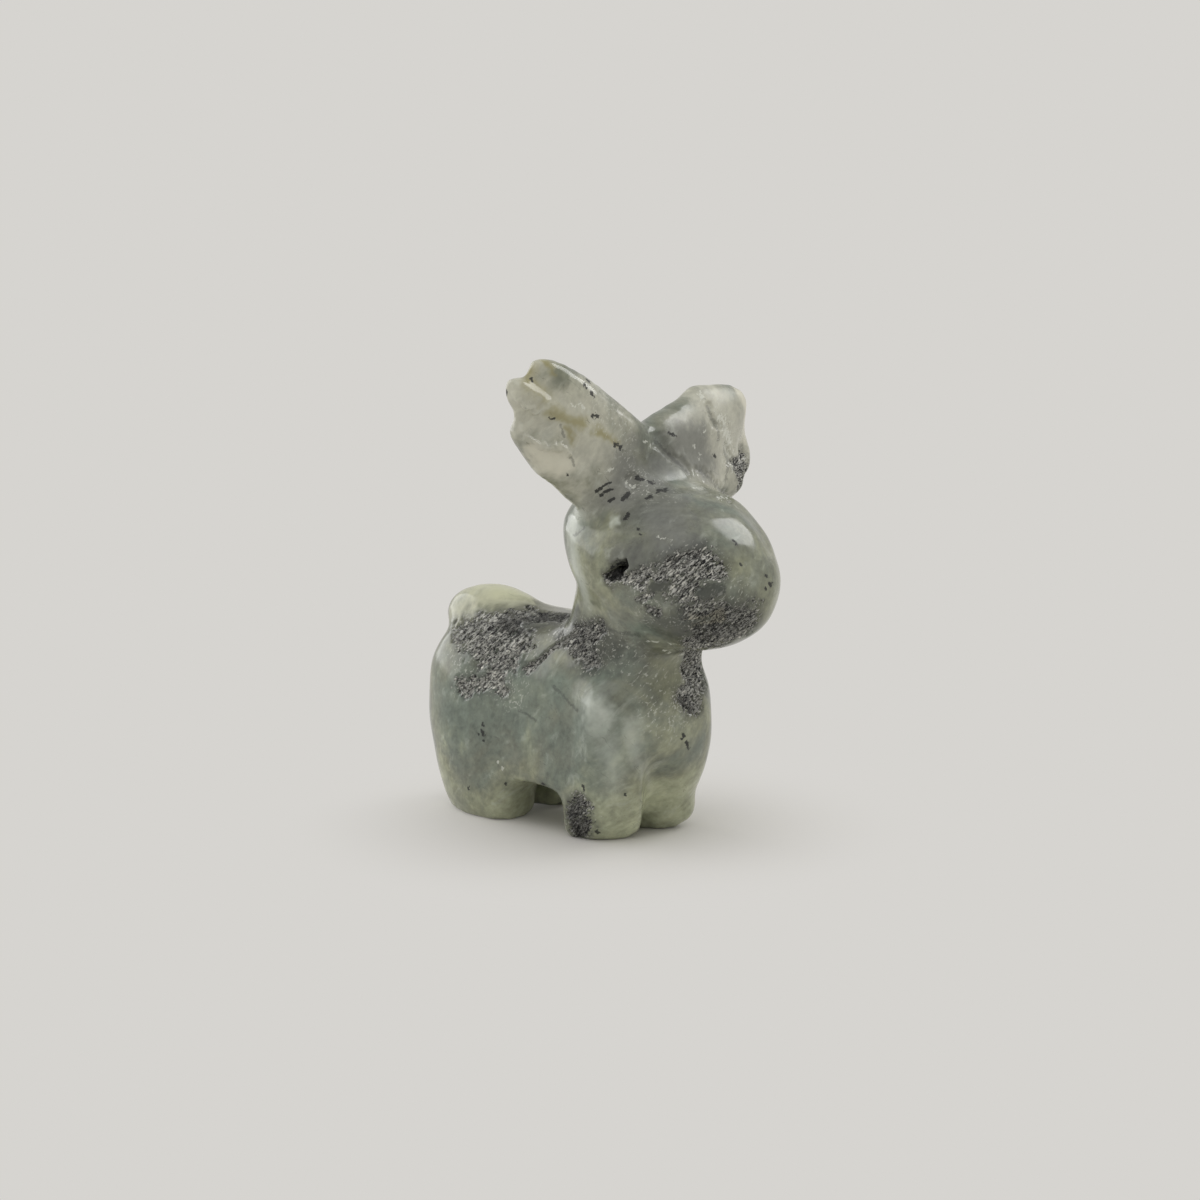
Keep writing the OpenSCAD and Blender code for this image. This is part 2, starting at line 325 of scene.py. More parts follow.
# Marks that the photograph shows, as strokes in its pixels
seen = {
    "grain": [  # rough dark mineral that won't take a polish
        ((464, 634), (512, 622), 12), ((478, 642), (516, 640), 18), ((492, 656), (508, 656), 17),
        ((495, 670), (498, 688), 10), ((464, 685), (494, 682), 9), ((524, 672), (566, 638), 4),
        ((568, 640), (597, 630), 10), ((580, 648), (590, 660), 11), ((612, 579), (640, 580), 7),
        ((640, 579), (668, 576), 11), ((668, 574), (706, 562), 16), ((682, 588), (700, 598), 17),
        ((704, 567), (716, 572), 12), ((640, 598), (652, 592), 3.5), ((646, 607), (660, 612), 3.5),
        ((686, 612), (752, 615), 7), ((702, 633), (740, 623), 14), ((690, 648), (715, 641), 11),
        ((694, 656), (697, 690), 11), ((684, 692), (690, 706), 11), ((575, 800), (584, 806), 8),
        ((578, 812), (582, 828), 12), ((744, 470), (746, 486), 8), ((738, 462), (740, 478), 5),
    ],
    "worn": [((652, 586), (666, 585), 6), ((704, 593), (719, 592), 10)],  # polished islands in it
    "fleck": [  # single black crystals
        ((597, 491), (601, 486), 3), ((603, 485), (610, 482), 2.5), ((605, 492), (611, 489), 3),
        ((601, 496), (603, 495), 2.5), ((610, 501), (614, 498), 2.5), ((624, 499), (629, 495), 4.5),
        ((625, 518), (628, 514), 3.5), ((638, 477), (642, 479), 3), ((649, 481), (653, 483), 3),
        ((658, 492), (666, 491), 3.5), ((646, 498), (653, 497), 2.5), ((584, 384), (585, 387), 3),
        ((587, 379), (589, 381), 3), ((590, 392), (592, 396), 2.5), ((593, 416), (598, 417), 3.5),
        ((616, 444), (621, 448), 4), ((567, 474), (568, 475), 2.2), ((533, 379), (534, 381), 2.5),
        ((550, 418), (555, 418), 2), ((506, 391), (506, 396), 2.5), ((668, 434), (675, 436), 2.5),
        ((714, 455), (715, 457), 2.5), ((483, 723), (483, 726), 2.3), ((482, 731), (484, 736), 2.7),
        ((484, 740), (484, 741), 2), ((478, 734), (479, 735), 1.8), ((683, 734), (684, 736), 2.6),
        ((686, 742), (687, 750), 2.3), ((681, 738), (682, 739), 1.8), ((468, 788), (469, 790), 2),
        ((596, 831), (599, 832), 2.4), ((543, 783), (544, 784), 2), ((625, 794), (626, 796), 1.8),
        ((638, 528), (639, 530), 2.2), ((640, 534), (641, 535), 2), ((734, 540), (736, 544), 2.2),
        ((740, 564), (742, 565), 2.2), ((766, 576), (767, 577), 2.5), ((770, 583), (770, 585), 3),
        ((765, 588), (766, 590), 2.5), ((582, 785), (583, 790), 2), ((506, 782), (506, 785), 2),
    ],
    "pit": [((618, 569), (623, 566), 6.2), ((612, 577), (616, 573), 5)],  # deep and black
    "jet": [((576, 803), (583, 826), 14), ((506, 626), (562, 616), 12), ((684, 700), (690, 708), 8)],
    "crack": [
        ((553, 686), (577, 711), 2.4), ((519, 711), (536, 721), 2), ((498, 628), (528, 618), 2),
        ((522, 623), (566, 616), 2.2), ((532, 629), (562, 622), 2), ((574, 535), (584, 527), 2),
        ((604, 628), (640, 634), 3), ((708, 406), (718, 429), 2.2), ((718, 429), (717, 441), 2),
        ((724, 448), (730, 460), 2.2), ((730, 460), (725, 482), 2), ((702, 470), (718, 485), 2.8),
        ((718, 485), (731, 500), 2.2), ((657, 440), (675, 458), 2.2), ((675, 458), (690, 473), 2.2),
        ((560, 426), (563, 437), 2.2), ((571, 458), (575, 467), 2.2),
    ],
    "spark": [
        ((706, 431), (707, 432), 2.8), ((700, 455), (700, 458), 2.4), ((694, 446), (695, 447), 2.2),
        ((651, 445), (651, 446), 2.4), ((645, 441), (646, 442), 2.2), ((571, 404), (576, 408), 2.5),
        ((580, 404), (583, 408), 2.5), ((562, 442), (563, 444), 2.2), ((659, 537), (671, 541), 2.2),
        ((626, 480), (634, 486), 2), ((634, 486), (640, 484), 2), ((652, 612), (655, 615), 2.8),
        ((636, 597), (644, 601), 2.6), ((692, 487), (703, 488), 2), ((721, 489), (731, 500), 2.2),
        ((599, 474), (614, 468), 1.8), ((688, 610), (750, 613), 3.5), ((720, 418), (729, 442), 6),
        ((727, 446), (733, 470), 5), ((699, 392), (701, 399), 4), ((648, 640), (658, 641), 1.6),
        ((668, 643), (675, 644), 1.6), ((664, 651), (671, 652), 1.6), ((680, 654), (686, 655), 1.6),
        ((502, 768), (504, 771), 2.1), ((498, 762), (499, 764), 1.8),
    ],
    # painted highlights: a bright spot on the head and the soft highlight on the shoulder
    "highlightAndWisp": [((610, 521), (617, 518), 7), ((595, 704), (600, 708), 24)],
    # painted glow where light comes through the thin lower blade of the right antler
    "cream": [((532, 450), (564, 470), 22)],
    "tan": [((688, 622), (724, 618), 8)],  # stained flakes
    # painted sheen: a pale band down the front of the forelegs
    "forelegSheen": [((598, 716), (614, 782), 28), ((628, 724), (640, 770), 16)],
    "dark": [((541, 601), (570, 611), 14)],
    "amber": [  # yellow-brown where the antler is thin, a tint painted in for light passing through the thin stone
        ((529, 374), (543, 397), 14), ((544, 361), (556, 374), 7), ((552, 412), (580, 424), 12),
        ((566, 430), (574, 440), 10), ((600, 432), (616, 442), 9),
    ],
}
# Broken or ground after polishing: the same strokes, with a rise in millimetres
dents = [
    ((618, 569), (623, 566), 7.2, -1.1), ((612, 577), (616, 573), 5.5, -0.8),
    ((630, 481), (635, 481), 9, -0.3), ((516, 396), (527, 408), 5, 0.25), ((527, 408), (536, 411), 5, 0.2),
    ((525, 439), (568, 454), 5.5, 0.3), ((657, 440), (690, 473), 7, -0.2),
    ((702, 470), (730, 499), 6, -0.2), ((708, 406), (718, 429), 5, -0.15),
    ((724, 448), (730, 460), 5, -0.2),
]
# How far strokes and surface wander, in millimetres; calm marks keep a share of it
wander = {"sizes": (0.4, 1.8), "reaches": (0.22, 0.5), "calm": 0.28, "calmMarks": ("fleck", "crack", "spark"),
          "groundSize": 3.2, "ground": 0.1, "turnedBelow": 0.25, "dentEdge": 1.5, "seed": 12}
# Marks that reach round to the other sides, as strokes in millimetres
marks = {
    "grain": [
        ((13.8, -3.2, 17.8), (17, -0.4, 20), 1.4), ((9.4, 1.6, 15.6), (9.8, 1, 12.4), 1.3),
        ((2.6, -5.4, 2.6), (2.4, -5, 1), 0.9), ((-12.6, -4, 16.2), (-9, -3.6, 17), 0.9),
        ((5, 12.4, 30.2), (4.4, 12.8, 29.2), 1.1), ((-9, -2.6, 17.4), (-2, -2.3, 17.7), 0.9),
        ((-7, -0.9, 17.8), (-1.5, -1.2, 17.8), 0.7), ((-9.5, 4.4, 16.8), (-6, 5.4, 16), 1.1),
        ((-7, 5.8, 15), (-4, 6.2, 14.4), 1.7), ((-4.4, 6.5, 13.2), (-2.6, 6.6, 11.8), 1.1),
        ((-1.6, 6, 14.6), (0.4, 5.8, 14.2), 0.7), ((8.6, 7.3, 24.4), (10.6, 7.1, 22.8), 1.5),
        ((11, 6.9, 22.2), (13.6, 6.2, 21.4), 0.9), ((-16.6, 2.4, 13.4), (-17, 1, 11.4), 1.6),
        ((-17, 0, 10.6), (-17, -1.6, 10), 0.9), ((-16, 3.6, 15), (-15.6, 4, 15.4), 0.7),
        ((2.4, -8, 35), (2.2, -6.4, 34), 0.9), ((2.3, -5.4, 33.2), (2.2, -5, 32.8), 0.5),
        ((-12, 6.2, 4), (-11, 6.2, 2.6), 0.8),
    ],
    # painted glow where light comes through the thin rim of the left antler
    "cream": [
        ((5, 11.8, 37), (5, 13, 35.4), 1.1), ((5, 13, 35.4), (4.8, 13.4, 32.6), 1.1),
        ((3, 12.6, 36), (3, 13.2, 33), 1),
    ],
    "lemon": [((-13, -0.8, 18.8), (-9.5, -0.8, 18.4), 4)],
    # painted reflections: a pale strip down each cheek
    "highlightAndWisp": [((3, -6.9, 28.5), (3.3, -6.6, 21), 2), ((4, 6.9, 28), (4, 6.8, 22), 2)],
    # paler stone on the antlers and the tail, with painted glow where they are thin
    "pale": [
        ((5.5, -6, 33.5), (4, -14, 38), 6), ((5.5, 5, 32), (4.5, 14, 33), 7),
        ((-13, 0, 18.5), (-8, 0, 18.5), 5),
    ],
    # painted bounce light: lighter towards the floor, and on the tail
    "low": [
        ((-12, 0, -2), (8, 0, -2), 12), ((6, -5, 1), (6, 5, 1), 8), ((-13, 0, 19), (-9, 0, 19), 4.5),
    ],
    "olive": [
        # the first stroke on this line, along the floor, is painted bounce light too; the rest is olive stone
        ((-12, 0, -2), (8, 0, -2), 13), ((-13, 0, 18.5), (-9, 0, 18), 6),
        ((5.4, -7.1, 22), (7.5, -7.4, 24.5), 4), ((4.1, -13, 38.6), (5, -10, 37.4), 3.4),
        ((6.3, -6, 34.5), (5.6, -9, 36), 2.4), ((15, -3, 20), (17, 2, 21), 3),
    ],
    "grey": [
        ((7, -4, 30.5), (11.5, -4, 27.5), 4.5), ((6, -4, 32), (6, 4, 32), 4),
        ((9, -7, 25), (14, -5, 26), 2.6),
    ],
    "matt": [((5.5, 7, 35.5), (5, 12, 35), 3.5), ((6.5, -3, 31.5), (6.5, 3, 31.5), 2.5)],  # half polished
    "blue": [
        ((-10, -6.4, 10), (-2, -6.5, 11), 5.5), ((5.4, -6.2, 12), (4.6, -6.2, 6), 3),
        ((-10, 6.6, 10), (-2, 6.7, 11), 5.5), ((5.4, 6.4, 12), (4.6, 6.4, 6), 3),
    ],
    # the back's dark streak and the patch on the right forefoot are dark stone; on the neck under the jaw and
    # under the chin it is painted shade
    "dark": [
        ((-7, -2.4, 17.8), (1, -2.6, 17.6), 3.6), ((2, -4.5, 16.8), (9, -3.5, 17), 3.2),
        ((13, -5, 20), (16.5, -2, 20), 3.4), ((2.7, -5.4, 2.8), (2.4, -5, 0.6), 1.8),
    ],
    "speckle": [
        ((7.5, -4.5, 17), (9.6, -2.3, 12.4), 3.4), ((-1, -4, 17), (6, -5.5, 17), 2.4),
        ((-11, -6, 14), (-5, -6.5, 11.5), 3), ((6, -3, 31), (8.5, -3, 29.5), 2.6),
        ((5.5, 8, 34), (5, 12.5, 30), 2.6), ((6, -6, 37), (6.5, -4, 33), 2.6),
        ((11, -7, 21), (17, -2, 22), 2.6), ((8, 5, 22), (14, 6, 20), 3),
    ],
}


def photoView(points, normals):
    back = np.array(direction(view["azimuth"], view["elevation"]))
    right = np.cross((0, 0, 1), back) / np.linalg.norm(back[:2])
    away = np.array(view["target"]) + view["distance"] * back - points
    scale = view["pixelsPerMm"] * view["distance"] / (away @ back)
    middle = view["framePixels"] / 2
    across, down = scale * (away @ right), scale * (away @ np.cross(back, right))
    facing = (away * normals).sum(1) / np.linalg.norm(away, axis=1)
    return np.stack([middle - across, middle + down], axis=1), facing


def storeMarks(mesh):
    fractal.seed_set(wander["seed"])
    points, normals = readPoints(mesh), readNormals(mesh)
    moved = points
    for size, reach in zip(wander["sizes"], wander["reaches"]):
        moved = moved + reach * np.array([fractal.noise_vector(point) for point in points / size])
    facing = photoView(points, normals)[1]
    turned = np.maximum(1 - facing / wander["turnedBelow"], 0)  # strokes end where the surface turns away
    pixels = photoView(moved, normals)[0]
    calm = photoView(points + wander["calm"] * (moved - points), normals)[0]
    for name in {**marks, **seen}:
        fields = [strokeField(moved, *stroke) for stroke in marks.get(name, [])]
        spots = calm if name in wander["calmMarks"] else pixels
        fields += [strokeField(spots, *stroke) - turned for stroke in seen.get(name, [])]
        field = np.max(fields, axis=0).clip(-1)
        stored = mesh.attributes.new(name, "FLOAT", "POINT")
        stored.data.foreach_set("value", field.astype(np.float32))
    rise = wander["ground"] * np.array([fractal.noise(point) for point in points / wander["groundSize"]])
    for start, end, width, depth in dents:
        rise += depth * easedStep(wander["dentEdge"] * (strokeField(pixels, start, end, width) - turned))
    rise *= easedStep(points[:, 2])  # soles stay flat
    writePoints(mesh, keepInBox(points + rise[:, None] * normals))


storeMarks(whole.data)
print("marks laid")


def put(tree, kind, sockets=(), **settings):
    node = tree.nodes.new(kind)
    for name, value in settings.items():
        setattr(node, name, value)
    for key, value in dict(sockets).items():
        if isinstance(value, bpy.types.NodeSocket):
            tree.links.new(value, node.inputs[key])
        else:
            node.inputs[key].default_value = value
    return node


def arithmetic(tree, operation, *values):
    return put(tree, "ShaderNodeMath", enumerate(values), operation=operation).outputs[0]


def span(tree, value, low, high, toLow=0, toHigh=1):
    sockets = {"Value": value, "From Min": low, "From Max": high, "To Min": toLow, "To Max": toHigh}
    return put(tree, "ShaderNodeMapRange", sockets, interpolation_type="SMOOTHSTEP").outputs[0]


# Rough grain: the dark mineral breaks out along its cleavage, in millimetres
grain = {"Depth": 0.1, "Fibre Depth": 0.22, "Length": 0.85, "Width": 0.2,
         "Ragged Edge": 2.4, "Ragged Size": 1, "Seed": 3}
fibreNoise, raggedNoise = (2, 0.55), (4, 0.6)  # detail and roughness
breaking, gapping = (-0.15, 0.5), (0.6, 0.4)  # from sound to broken stone, from fibre to gap
cleavage = Vector((0.47, 0.60, 0.65)).to_track_quat("X", "Z").to_euler()
crossing = Vector((0.75, 0.60, 0.1)).to_track_quat("X", "Z").to_euler()


def grainTree():
    tree = bpy.data.node_groups.new("roughGrain", "GeometryNodeTree")
    tree.interface.new_socket("Geometry", in_out="INPUT", socket_type="NodeSocketGeometry")
    for name in grain:
        tree.interface.new_socket(name, in_out="INPUT", socket_type="NodeSocketFloat")
    tree.interface.new_socket("Material", in_out="INPUT", socket_type="NodeSocketMaterial")
    tree.interface.new_socket("Geometry", in_out="OUTPUT", socket_type="NodeSocketGeometry")
    given = put(tree, "NodeGroupInput").outputs
    place = put(tree, "GeometryNodeInputPosition").outputs[0]
    normal = put(tree, "GeometryNodeInputNormal").outputs[0]
    field = put(tree, "GeometryNodeInputNamedAttribute", {"Name": "grain"}, data_type="FLOAT").outputs[0]
    worn = put(tree, "GeometryNodeInputNamedAttribute", {"Name": "worn"}, data_type="FLOAT").outputs[0]

    def noise(place, detail, roughness):
        sockets = {"Vector": place, "W": given["Seed"], "Scale": 1, "Detail": detail, "Roughness": roughness}
        return put(tree, "ShaderNodeTexNoise", sockets, noise_dimensions="4D").outputs[0]

    sockets = {"Vector": place, "Rotation": cleavage}
    turned = put(tree, "ShaderNodeVectorRotate", sockets, rotation_type="EULER_XYZ", invert=True).outputs[0]
    sides = {"X": given["Length"], "Y": given["Width"], "Z": given["Width"]}
    cell = put(tree, "ShaderNodeCombineXYZ", sides).outputs[0]
    fibre = put(tree, "ShaderNodeVectorMath", {0: turned, 1: cell}, operation="DIVIDE").outputs[0]
    fibre = noise(fibre, *fibreNoise)
    size = arithmetic(tree, "DIVIDE", 1, given["Ragged Size"])
    ragged = put(tree, "ShaderNodeVectorMath", {0: place, "Scale": size}, operation="SCALE").outputs[0]
    ragged = noise(ragged, *raggedNoise)
    warp = arithmetic(tree, "MULTIPLY", arithmetic(tree, "SUBTRACT", ragged, 0.5), given["Ragged Edge"])
    rough = span(tree, arithmetic(tree, "ADD", field, warp), *breaking)
    smoothAgain = span(tree, arithmetic(tree, "ADD", worn, warp), *breaking)
    rough = arithmetic(tree, "MULTIPLY", rough, arithmetic(tree, "SUBTRACT", 1, smoothAgain))
    gap = arithmetic(tree, "MULTIPLY", span(tree, fibre, *gapping), given["Fibre Depth"])
    sink = arithmetic(tree, "MULTIPLY", rough, arithmetic(tree, "ADD", given["Depth"], gap))
    offset = put(tree, "ShaderNodeVectorMath", {0: normal, "Scale": arithmetic(tree, "MULTIPLY", sink, -1)},
                 operation="SCALE").outputs[0]
    sockets = {"Geometry": given["Geometry"], "Name": "rough", "Value": rough}
    stored = put(tree, "GeometryNodeStoreNamedAttribute", sockets, data_type="FLOAT",
                 domain="POINT").outputs[0]
    moved = put(tree, "GeometryNodeSetPosition", {"Geometry": stored, "Offset": offset}).outputs[0]
    real = put(tree, "GeometryNodeRealizeInstances", {0: moved}).outputs[0]
    sockets = {"Geometry": real, "Material": given["Material"]}
    dressed = put(tree, "GeometryNodeSetMaterial", sockets).outputs[0]
    put(tree, "NodeGroupOutput", {0: dressed})
    return tree


# Stone finish; colours as they look under plain light
def shade(red, green, blue):
    screen = [value / 255 for value in (red, green, blue)]
    return tuple(v / 12.92 if v < 0.041 else ((v + 0.055) / 1.055) ** 2.4 for v in screen) + (1,)


finish = {
    "body": shade(128, 132, 118), "blue": shade(116, 127, 117), "olive": shade(146, 148, 122),
    # the first colour here is painted bounce light near the floor; the last is paler stone with painted glow
    # where it is thin
    "low": shade(191, 196, 167), "grey": shade(104, 106, 103), "pale": shade(196, 195, 180),
    # the first two colours here are painted in for light through the thin antlers: a yellow-brown tint, and a
    # bright glow
    "amber": shade(150, 143, 98), "cream": shade(226, 223, 205), "lemon": shade(197, 199, 162),
    # the first colour here is pale, for the wisps in the stone and for the painted highlights and sheen
    "highlightAndWisp": shade(212, 218, 208), "spark": shade(226, 228, 218), "shadow": shade(50, 52, 51),
    "crystal": shade(26, 27, 27), "chipDark": shade(26, 26, 28), "chipGrey": shade(192, 192, 186),
    "chipPale": shade(222, 221, 212), "chipTan": shade(230, 224, 198),
    "polish": 0.14, "uneven": 0.04, "greyMatt": 0.2, "halfMatt": 0.25, "broken": 0.6,  # roughness
}
# Patterns: length along and width across a direction in millimetres, detail, roughness, distortion, seed
patterns = {
    "cloud": (5.5, 4.5, 5, 0.6, 0.5, 1, cleavage),
    "tint": (6, 5, 3, 0.6, 0.8, 11, cleavage),
    "mottle": (1.6, 1.2, 6, 0.62, 0.3, 2, cleavage),
    "smoke": (3.4, 1.2, 5, 0.6, 0.6, 3, cleavage),
    "silk": (0.7, 0.45, 3, 0.6, 0.2, 6, cleavage),
    "grit": (0.5, 0.26, 3, 0.65, 0, 5, cleavage),
    "fibre": (grain["Length"], grain["Width"], *fibreNoise, 0, grain["Seed"], cleavage),
    "splinter": (0.5, 0.14, 3, 0.65, 0.2, 7, crossing),
    "seam": (1.6, 6, 3, 0.5, 0.4, 9, cleavage),
}
waves = {"cloud": 0.14, "mottle": 0.14, "smoke": 0.1, "silk": 0.12}  # how much each lightens and darkens
waveSpread, zoneSpread = 0.2, 0.25  # how far to each side of its middle a pattern counts
# Flakes of the broken mineral: lengths and widths in millimetres, shares, and stir and bump in millimetres
flake = {
    "large": (1, 0.2), "small": (0.5, 0.13), "loose": (0.3, 0.11), "frost": (0.8, 0.36),
    "gap": (0.02, 0.16), "smallHeight": 0.8, "fibreShare": 0.6,
    "stirSize": 0.5, "stir": 0.24, "stirDetail": 2, "bump": 0.2,
}
# Colour zones: width of the soft edge, how far clouds move it, strength, colour
zones = {
    "blue": (0.7, 0.4, 0.7, "blue"),
    "olive": (0.7, 0.4, 0.7, "olive"),
    # painted bounce light towards the floor
    "low": (1.2, 0.4, 0.75, "low"),
    # paler stone, with painted glow where the antlers and tail are thin
    "pale": (0.7, 0.4, 0.85, "pale"),
    "grey": (0.7, 0.4, 0.75, "grey"),
    # yellow-brown tint painted in for light through the thin antler
    "amber": (1.1, 0.4, 0.8, "amber"),
    # painted highlights and reflections
    "highlightAndWisp": (1.2, 0.3, 0.8, "highlightAndWisp"),
    # painted sheen down the forelegs, in the same pale colour
    "forelegSheen": (1.5, 0.5, 0.42, "highlightAndWisp"),
    "lemon": (1, 0.5, 0.65, "lemon"),
    # painted glow through the thin antler rims
    "cream": (0.9, 0.3, 0.8, "cream"),
    # dark stone, and painted shade under the jaw and chin
    "dark": (0.7, 0.4, 0.66, "shadow"),
    "tan": (0.8, 0.2),
    "jet": (0.7, 0.4),
    "matt": (0.7, 0.4),
}
# Frayed marks: the mark, the pattern that frays it, its spread and reach, where the mark starts and is full
frays = {
    "inclusion": ("grain", "mottle", 0.2, 0.4, -0.8, 0.1),
    "around": ("grain", "cloud", 0.2, 0.4, -0.7, 0.1),
    "spark": ("spark", "grit", 0.25, 1, 0.45, 0.8),
    "crack": ("crack", "grit", 0.2, 0.5, 0.1, 0.8),
    "speckle": ("speckle", "cloud", 0.2, 0.4, 0, 0.8),
    "broken": ("rough", "threads", 0.1, 0.5, 0.52, 0.62),
    "worn": ("worn", "grit", 0.3, 0.4, 0, 0.4),
    "fleck": ("fleck", "grit", 0.25, 0.6, 0.3, 0.6),
    "pit": ("pit", "grit", 0.25, 0.6, 0.1, 0.4),
}
# Steps of a pattern: from and to, and the values there where they aren't 0 and 1
steps = {
    "blueTint": (0.48, 0.66, 0, 0.7), "oliveTint": (0.52, 0.34, 0, 0.7), "paleCalm": (0, 0.6, 1, 0.55),
    "wisp": (0.56, 0.7, 0, 0.2), "hairline": (0.005, 0.001), "hairlineParts": (0.5, 0.6, 0, 0.32),
    "loose": (0.78, 0.95), "frost": (0.12, 0.03), "frostParts": (0.52, 0.62),
    "grey": (0.06, 0.44), "pale": (0.6, 1), "threadGap": (0.48, 0.41, 0, 0.75),
    "darkDepth": (0, 1, 1, 0.66), "jetDepth": (0, 1, 1, 0.4), "smokeDepth": (0.3, 0.7, 0.72, 1.28),
}
# How strongly each one shows
shares = {"inclusion": 0.45, "spark": 0.6, "crack": 0.42, "loose": 0.45, "frost": 0.5, "stain": 0.6,
          "worn": 0.55, "black": 0.9}


def stoneMaterial():
    material = bpy.data.materials.new("labradorite")
    material.use_nodes = True
    tree = material.node_tree
    shader = tree.nodes["Principled BSDF"]
    place = put(tree, "ShaderNodeTexCoord").outputs["Object"]

    def cells(spot, length, width, turn):
        sockets = {"Vector": spot, "Rotation": turn, "Scale": (length * mm, width * mm, width * mm)}
        return put(tree, "ShaderNodeMapping", sockets, vector_type="TEXTURE").outputs[0]

    def noise(length, width, detail, roughness, distortion, seed, turn):
        sockets = {"Vector": cells(place, length, width, turn), "W": seed, "Scale": 1, "Detail": detail,
                   "Roughness": roughness, "Distortion": distortion}
        return put(tree, "ShaderNodeTexNoise", sockets, noise_dimensions="4D").outputs["Fac"]

    def mark(name):
        return put(tree, "ShaderNodeAttribute", attribute_name=name).outputs["Fac"]

    def blend(factor, first, second):
        return put(tree, "ShaderNodeMix", {0: factor, 6: first, 7: second}, data_type="RGBA").outputs[2]

    def scaled(colour, factor):
        return put(tree, "ShaderNodeVectorMath", {0: colour, "Scale": factor}, operation="SCALE").outputs[0]

    def times(first, second):
        return arithmetic(tree, "MULTIPLY", first, second)

    def plus(first, second):
        return arithmetic(tree, "ADD", first, second)

    def larger(first, second):
        return arithmetic(tree, "MAXIMUM", first, second)

    def step(value, name):
        return span(tree, value, *steps[name])

    def swing(pattern, spread, reach):
        return span(tree, pattern, 0.5 - spread, 0.5 + spread, -reach, reach)

    def chips(length, width, feature):
        stirring = {"Vector": place, "Scale": 1 / (flake["stirSize"] * mm), "Detail": flake["stirDetail"]}
        stirred = put(tree, "ShaderNodeTexNoise", stirring).outputs["Color"]
        bent = put(tree, "ShaderNodeVectorMath", {0: stirred, 1: (flake["stir"] * mm,) * 3, 2: place},
                   operation="MULTIPLY_ADD").outputs[0]
        sockets = {"Vector": cells(bent, length, width, cleavage), "Scale": 1}
        return put(tree, "ShaderNodeTexVoronoi", sockets, feature=feature).outputs

    def edges(length, width):
        return chips(length, width, "DISTANCE_TO_EDGE")["Distance"]

    def heap(length, width):  # flakes, each at its own height, with dark gaps
        height = put(tree, "ShaderNodeSeparateColor", {0: chips(length, width, "F1")["Color"]}).outputs[0]
        return times(height, span(tree, edges(length, width), *flake["gap"]))

    made = {name: noise(*pattern) for name, pattern in patterns.items()}
    fibres = times(made["fibre"], flake["fibreShare"])
    made["threads"] = plus(fibres, times(made["splinter"], 1 - flake["fibreShare"]))

    def zone(name):
        soft, reach = zones[name][:2]
        return span(tree, plus(mark(name), swing(made["cloud"], zoneSpread, reach)), 0, soft)

    def lay(colour, *names):
        for name in names:
            strength, tint = zones[name][2:]
            colour = blend(times(zone(name), strength), colour, finish[tint])
        return colour

    def frayed(name):
        field, pattern, spread, reach, start, full = frays[name]
        return span(tree, plus(mark(field), swing(made[pattern], spread, reach)), start, full)

    # Colour zones, then the clouds and wisps inside the stone
    colour = blend(step(made["tint"], "blueTint"), finish["body"], finish["blue"])
    colour = blend(step(made["tint"], "oliveTint"), colour, finish["olive"])
    # the zones add painted bounce light towards the floor and painted glow where the antlers and tail are
    # thin
    colour = lay(colour, "blue", "olive", "low", "pale", "grey")
    wave = 0
    for name, depth in waves.items():
        wave = plus(wave, swing(made[name], waveSpread, depth))
    colour = scaled(colour, plus(1, times(wave, step(mark("pale"), "paleCalm"))))
    # yellow-brown tint painted in for light through the thin antler
    colour = lay(colour, "amber")
    colour = blend(step(made["smoke"], "wisp"), colour, finish["highlightAndWisp"])
    colour = blend(times(frayed("inclusion"), shares["inclusion"]), colour, finish["shadow"])
    # painted highlights, painted sheen down the forelegs, painted glow at the thin antler rims, the tail's
    # yellow, then dark stone and painted shade under the jaw and chin
    colour = lay(colour, "highlightAndWisp", "forelegSheen", "lemon", "cream", "dark")
    # White sparks, dark hairlines and cracks
    colour = blend(times(frayed("spark"), shares["spark"]), colour, finish["spark"])
    line = arithmetic(tree, "ABSOLUTE", arithmetic(tree, "SUBTRACT", made["seam"], 0.5))
    line = times(step(line, "hairline"), step(made["mottle"], "hairlineParts"))
    colour = blend(larger(line, times(frayed("crack"), shares["crack"])), colour, finish["shadow"])
    # Loose flakes round the broken mineral, and frost
    loose = times(step(heap(*flake["loose"]), "loose"), frayed("around"))
    colour = blend(times(loose, shares["loose"]), colour, finish["chipPale"])
    frost = times(step(edges(*flake["frost"]), "frost"), step(made["grit"], "frostParts"))
    colour = blend(times(times(frost, frayed("speckle")), shares["frost"]), colour, finish["spark"])
    # Broken mineral
    flakes = larger(heap(*flake["large"]), times(heap(*flake["small"]), flake["smallHeight"]))
    stain = times(zone("tan"), shares["stain"])
    greyFlake = blend(stain, finish["chipGrey"], finish["chipTan"])
    paleFlake = blend(stain, finish["chipPale"], finish["chipTan"])
    dust = blend(step(flakes, "grey"), finish["chipDark"], greyFlake)
    dust = blend(step(flakes, "pale"), dust, paleFlake)
    dust = blend(step(made["threads"], "threadGap"), dust, finish["chipDark"])
    # broken mineral darker in the dark zone, which holds painted shade under the jaw and chin, and in the jet
    # patches
    depth = times(step(zone("dark"), "darkDepth"), step(zone("jet"), "jetDepth"))
    depth = times(depth, step(made["smoke"], "smokeDepth"))
    broken = frayed("broken")
    colour = blend(broken, colour, scaled(dust, depth))
